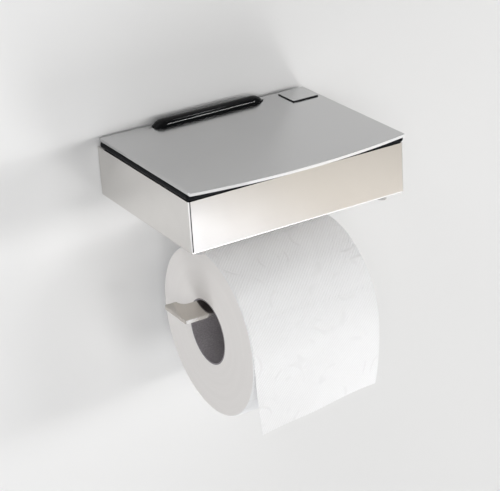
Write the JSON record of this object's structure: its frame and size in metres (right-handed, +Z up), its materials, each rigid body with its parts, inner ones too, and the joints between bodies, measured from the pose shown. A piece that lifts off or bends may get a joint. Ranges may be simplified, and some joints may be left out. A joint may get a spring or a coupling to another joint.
{
  "type": "toilet paper holder",
  "caption": "Wall-mounted toilet paper holder: a polished steel box with a hinged lid above, and a paper roll that turns on a flat steel arm below.",
  "frame": {"origin": "on the wall, midway between the two wall screws", "axes": "+X right, +Y into the wall, +Z up; the holder's front faces -Y"},
  "size_m": [0.161, 0.1367, 0.1877],
  "materials": {
    "polished_steel": "polished",
    "satin_steel": "satin",
    "plain_steel": "satin",
    "fastener_steel": "satin",
    "dark_steel": "satin",
    "black_plastic": "matte",
    "gloss_black": "gloss",
    "seal_rubber": "matte",
    "tissue": "matte",
    "core_board": "matte"
  },
  "bodies": {
    "holder": {"box_shell": "polished_steel", "wall_plate": "plain_steel", "lock_screw": "fastener_steel", "lock_nut": "fastener_steel", "container": "black_plastic", "container_screws": "fastener_steel", "container_washers": "fastener_steel", "hinge_barrel": "gloss_black", "hinge_screws": "fastener_steel", "hinge_nuts": "fastener_steel", "roll_arm": "polished_steel", "arm_screws": "fastener_steel", "arm_washers": "fastener_steel", "arm_nuts": "fastener_steel", "paper_end": "tissue"},
    "lid": {"lid_plate": "satin_steel", "lid_frame": "black_plastic", "frame_nuts": "fastener_steel", "lid_seal": "seal_rubber", "hinge_pin": "dark_steel", "badge_pad": "black_plastic", "badge_plate": "satin_steel"},
    "roll": {"paper_roll": "tissue", "paper_core": "core_board"}
  },
  "joints": [
    {"name": "lid_hinge", "type": "hinge", "parent": "holder", "child": "lid", "pos_m": [0, -0.0089, 0.02775], "axis": [-1, 0, 0], "range_deg": [0, 93]},
    {"name": "roll_spin", "type": "hinge", "parent": "holder", "child": "roll", "pos_m": [0.001, -0.075, -0.0954], "axis": [1, 0, 0], "continuous": true}
  ]
}
